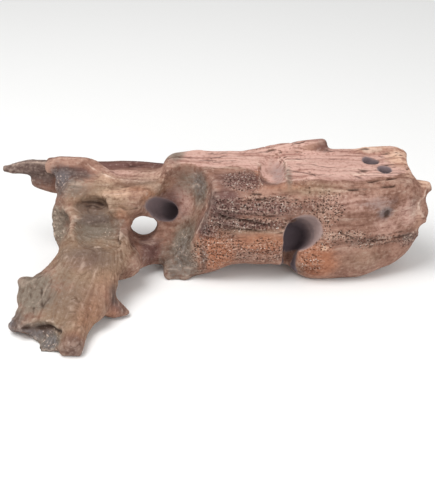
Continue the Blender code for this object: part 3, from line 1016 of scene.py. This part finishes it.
    def stroke_all(self, points: Array, strokes: tuple, seed: int, rough: bool = True) -> tuple:
        """Height and tint of a set of strokes.

        Args:
            points: Places in the layout frame.
            strokes: The strokes.
            seed: Picks how they waver.
            rough: Whether they fade and deepen along their way.

        Returns:
            Height in millimetres and tint, one value each for each point.
        """
        waver = np.stack([clouds(points / 11.0, seed + k, 3) for k in range(3)], axis=1)
        bent = points + 1.8 * waver
        worn = 1.0
        if rough:
            worn = 0.45 + 0.75 * ramp(-0.35, 0.35, clouds(points / 8.0, seed + 5, 2))
        height, tint = np.zeros(len(points)), np.zeros(len(points))
        for stroke in strokes:
            gap = distance_to(stroke.path, bent) / max(stroke.width, self.narrowest)
            reach = np.exp(-(gap**2)) * worn
            height += stroke.height * reach
            tint = np.maximum(tint, stroke.tint * reach)
        return height, tint

    def carve(self, wood: Object) -> None:
        """Carves furrows, splits, ridges, rot and pits, and keeps what they tint.

        Args:
            wood: The piece.
        """
        points, normals = self.points(wood)
        lines = self.grain(points)
        pitted = self.pitted(points, normals)
        top = self.top(points, normals)
        rotten = ramp(-96, -118, points[:, 0]) * ramp(96, 84, points[:, 1])
        belly = ramp(96, 118, points[:, 0]) * ramp(60, 36, points[:, 2]) * (1 - pitted)
        grained = (0.75 + 0.25 * top) * (1 - 0.3 * rotten) * (1 - 0.5 * belly)
        grained = np.clip(grained * (1 - self.dabs(points, SCAR_DABS)), 0, 1)

        across = lines / np.array(self.furrow_size)
        wave = cloud(across, 3) * 0.7 + cloud(across * np.array((1.6, 2.1, 2.1)), 5) * 0.3
        furrow = ramp(0.1, 0.0, np.abs(wave))
        furrow *= ramp(0.05, 0.55, cloud(points / 26.0, 7) + 0.35 * top)
        furrow *= grained * (1 - 0.7 * rotten)
        height = grained * self.ripple_height * clouds(lines / np.array(self.ripple_size), 11, 2)
        height -= self.furrow_depth * furrow * (0.8 + 1.1 * top)

        rot = np.clip(rotten + self.dabs(points, TONE_DABS[Tone.OLIVE]), 0, 1) * (1 - 0.8 * top)
        crease = ramp(0.08, 0.0, np.abs(clouds(lines / np.array(self.crease_size), 17, 2))) * rot
        crease *= ramp(-0.1, 0.4, cloud(points / 16.0, 19))
        height += rot * self.rot_height * clouds(points / self.rot_size, 15, 2)
        height -= self.crease_depth * crease
        crumbled = self.dabs(points, CRUMBLED_DABS)
        height += self.crumb_height * crumbled * clouds(points / self.crumb_size, 25, 2)

        gnaw = clouds(lines / np.array(self.gnaw_size), 21, 3)
        height += self.gnaw_depth * np.minimum(gnaw, 0.2) * pitted
        bent = lines + 0.9 * np.stack([clouds(points / 2.2, 35 + k, 2) for k in range(3)], axis=1)
        gap, own = pores(bent / np.array(self.pit_size), 31)
        radius = 0.28 + 0.3 * own
        open_pit = ramp(radius, radius * 0.4, gap)
        open_pit *= ramp(0.2, 0.5, pitted + 0.3 * clouds(points / 7.0, 33, 2))
        height -= self.pit_depth * open_pit * (0.5 + own)

        split_height, split_tint = self.stroke_all(points, SPLITS, 60)
        ridge_height, ridge_tint = self.stroke_all(points, RIDGES, 70)
        bite_height, _ = self.stroke_all(points, BITES, 80, rough=False)
        height += split_height + ridge_height + bite_height
        moved = points + normals * height[:, None]
        for push in PUSHES:
            gap = np.linalg.norm((points - np.array(push.at)) / np.array(push.reach), axis=1)
            moved += ramp(1.2, 0.4, gap)[:, None] * np.array(push.by)
        moved[:, 2] = np.maximum(moved[:, 2], 0.0)
        wood.data.vertices.foreach_set("co", ((moved + LAYOUT_SHIFT) * MM).ravel())
        wood.data.update()

        # Dark in pits, cracks, furrows and creases: partly grime, partly painted shade; the side
        # bore's hole is painted shade alone.
        dirt_and_shade = np.maximum(0.9 * open_pit, split_tint * (1 + 0.4 * top))
        dirt_and_shade = np.maximum.reduce([dirt_and_shade, furrow * (0.5 + 0.4 * top), 0.45 * crease])
        dirt_and_shade = np.clip(np.maximum(dirt_and_shade, self.dabs(points, SIDE_BORE_SHADE_DABS)), 0, 1)
        ridge = ridge_tint * (0.75 + 0.5 * clouds(points / 6.0, 75, 2))
        for name, values in (
            ("dirt_and_shade", dirt_and_shade), ("pitted", pitted), ("ridge", ridge), ("grained", grained),
            ("crumbled", crumbled), ("grain", lines * MM),
        ):
            self.keep(wood, name, values)

    def dabs(self, points: Array, patches: tuple) -> Array:
        """The highest of a set of dabs, with ragged rims.

        Args:
            points: Places in the layout frame.
            patches: The dabs.

        Returns:
            A value from 0 to 1 for each point.
        """
        ragged = 1.0 + 0.3 * clouds(points / 12.0, 51, 3)
        best = np.zeros(len(points))
        for dab in patches:
            gap = np.linalg.norm((points - np.array(dab.at)) / np.array(dab.reach), axis=1)
            best = np.maximum(best, dab.strength * ramp(1.45, 0.25, gap * ragged))
        return best

    def tone(self, wood: Object) -> None:
        """Keeps the mask of each tone, of the painted shade in the bores, of worn edges with
        painted highlight and of the painted shade in hollows as attributes.

        Args:
            wood: The piece.
        """
        points, normals = self.points(wood)
        masks = {tone: self.dabs(points, patches) for tone, patches in TONE_DABS.items()}
        masks[Tone.ROSE] = np.maximum(masks[Tone.ROSE], self.top(points, normals))
        lining, deep = self.in_holes(points)
        # Painted shade in the bores, darker the deeper down.
        masks[Tone.CHAR] = ramp(0.3, 0.85, deep)
        self.keep(wood, "lining", lining)
        for tone, mask in masks.items():
            self.keep(wood, tone.value, mask)
        fine = self.bulge(wood, points, normals, 8)
        broad = self.bulge(wood, points, normals, 60)
        crisp = 0.35 + 0.35 * self.pitted(points, normals)
        # Pale on bulging points: worn edges with painted highlight on the fine scale, painted
        # highlight alone on the broad one.
        self.keep(wood, "worn", ramp(0.08, 0.5, fine) * crisp + 0.3 * ramp(0.4, 2.0, broad))
        # Painted shade in hollows, from how far each point sinks below its neighbourhood.
        sunk = np.maximum(ramp(-0.08, -0.6, fine) * crisp, ramp(-0.5, -3.5, broad))
        self.keep(wood, "hollow", sunk)

    def bulge(
        self, wood: Object, points: Array, normals: Array, rounds: int
    ) -> Array:
        """How far each point stands out of its neighbourhood, in millimetres.

        Args:
            wood: The piece.
            points: Its points.
            normals: Their normals.
            rounds: How widely the neighbourhood is evened out.

        Returns:
            One height for each point, negative in a hollow.
        """
        ends = np.empty(len(wood.data.edges) * 2, np.int64)
        wood.data.edges.foreach_get("vertices", ends)
        one, two = ends.reshape(-1, 2).T
        count = np.bincount(one, minlength=len(points)) + np.bincount(two, minlength=len(points))
        even = points.copy()
        for _ in range(rounds):
            total = np.zeros_like(even)
            for axis in range(3):
                total[:, axis] = np.bincount(one, even[two, axis], len(even))
                total[:, axis] += np.bincount(two, even[one, axis], len(even))
            even = 0.3 * even + 0.7 * total / count[:, None]
        return ((points - even) * normals).sum(axis=1)

    def keep(self, wood: Object, name: str, values: Array) -> None:
        """Stores one value or one vector for each point as an attribute.

        Args:
            wood: The piece.
            name: The attribute's name.
            values: One number, or three numbers, to a row.
        """
        kind = "FLOAT" if values.ndim == 1 else "FLOAT_VECTOR"
        layer = wood.data.attributes.new(name, kind, "POINT")
        layer.data.foreach_set("value" if kind == "FLOAT" else "vector", values.ravel())

    def material(self) -> bpy.types.Material:
        """The wood's material: its tones and marks over each other.

        Returns:
            The material.
        """
        material = bpy.data.materials.new(self.finish.name)
        material.use_nodes = True
        material.node_tree.nodes.clear()
        WoodShader(material.node_tree, self.finish).build()
        return material


@dataclass
class Studio:
    """The pale table, the soft lights and the camera.

    Lengths are in metres, angles in degrees and powers in watts.
    """

    table_size: float = 14.0
    camera_distance: float = 1.1
    camera_elevation: float = 30.0
    lens: float = 80.0
    sensor: float = 36.0
    target: tuple = (0.0047, -0.0014, 0.057)
    key_place: tuple = (-0.6, -0.45, 1.6)
    key_size: float = 1.1
    key_power: float = 26.0
    fill_place: tuple = (1.0, -1.5, 0.9)
    fill_size: float = 1.2
    fill_power: float = 13.0
    sky_strength: float = 0.55
    finish: PaleTable = field(default_factory=PaleTable)

    def build(self) -> None:
        """Makes the table, the lights, the sky and the camera."""
        self.table()
        self.light("key", self.key_place, self.key_size, self.key_power)
        self.light("fill", self.fill_place, self.fill_size, self.fill_power)
        self.sky()
        self.camera()
        LOG.info("studio: table, lights and camera")

    def table(self) -> None:
        """A wide table top just under the wood."""
        bpy.ops.object.select_all(action="DESELECT")
        bpy.ops.mesh.primitive_plane_add(size=self.table_size, location=(0, 0, 0))
        top = bpy.context.object
        top.name = "table_top"
        top.data.transform(top.matrix_world)
        top.matrix_world.identity()
        material = bpy.data.materials.new(self.finish.name)
        material.use_nodes = True
        tree = material.node_tree
        tree.nodes.clear()
        settings = {"Base Color": linear(self.finish.white), "Roughness": self.finish.roughness}
        shader = add_node(tree, "BsdfPrincipled", settings)
        add_node(tree, "OutputMaterial", {}, {"Surface": shader.outputs[0]})
        top.data.materials.append(material)

    def light(self, name: str, place: tuple, size: float, power: float) -> None:
        """A square soft light that looks at the wood.

        Args:
            name: The light's name.
            place: Where it hangs, in metres.
            size: Its side, in metres.
            power: Its power in watts.
        """
        lamp = bpy.data.lights.new(name, "AREA")
        lamp.size = size
        lamp.energy = power
        holder = bpy.data.objects.new(name, lamp)
        bpy.context.scene.collection.objects.link(holder)
        holder.location = place
        look = Vector(self.target) - Vector(place)
        holder.rotation_mode = "QUATERNION"
        holder.rotation_quaternion = look.to_track_quat("-Z", "Y")

    def sky(self) -> None:
        """An even white sky."""
        world = bpy.data.worlds.new("studio_sky")
        world.use_nodes = True
        background = world.node_tree.nodes["Background"]
        background.inputs["Color"].default_value = (1.0, 1.0, 1.0, 1.0)
        background.inputs["Strength"].default_value = self.sky_strength
        bpy.context.scene.world = world

    def camera(self) -> None:
        """The camera at the photo's viewing angle, level, from the front and above."""
        data = bpy.data.cameras.new("photo_camera")
        data.lens = self.lens
        data.sensor_width = self.sensor
        data.clip_start = 0.01
        data.clip_end = 50.0
        holder = bpy.data.objects.new("photo_camera", data)
        bpy.context.scene.collection.objects.link(holder)
        rise = math.radians(self.camera_elevation)
        back = Vector((0.0, -math.cos(rise), math.sin(rise)))
        holder.location = Vector(self.target) + back * self.camera_distance
        holder.rotation_mode = "QUATERNION"
        holder.rotation_quaternion = (-back).to_track_quat("-Z", "Y")
        bpy.context.scene.camera = holder


def main() -> None:
    """Builds the wood and the studio."""
    logging.basicConfig(level=logging.INFO, format="%(name)s %(message)s")
    bpy.context.scene.view_settings.view_transform = "Standard"
    Driftwood().build()
    Studio().build()


if __name__ == "__main__":
    main()
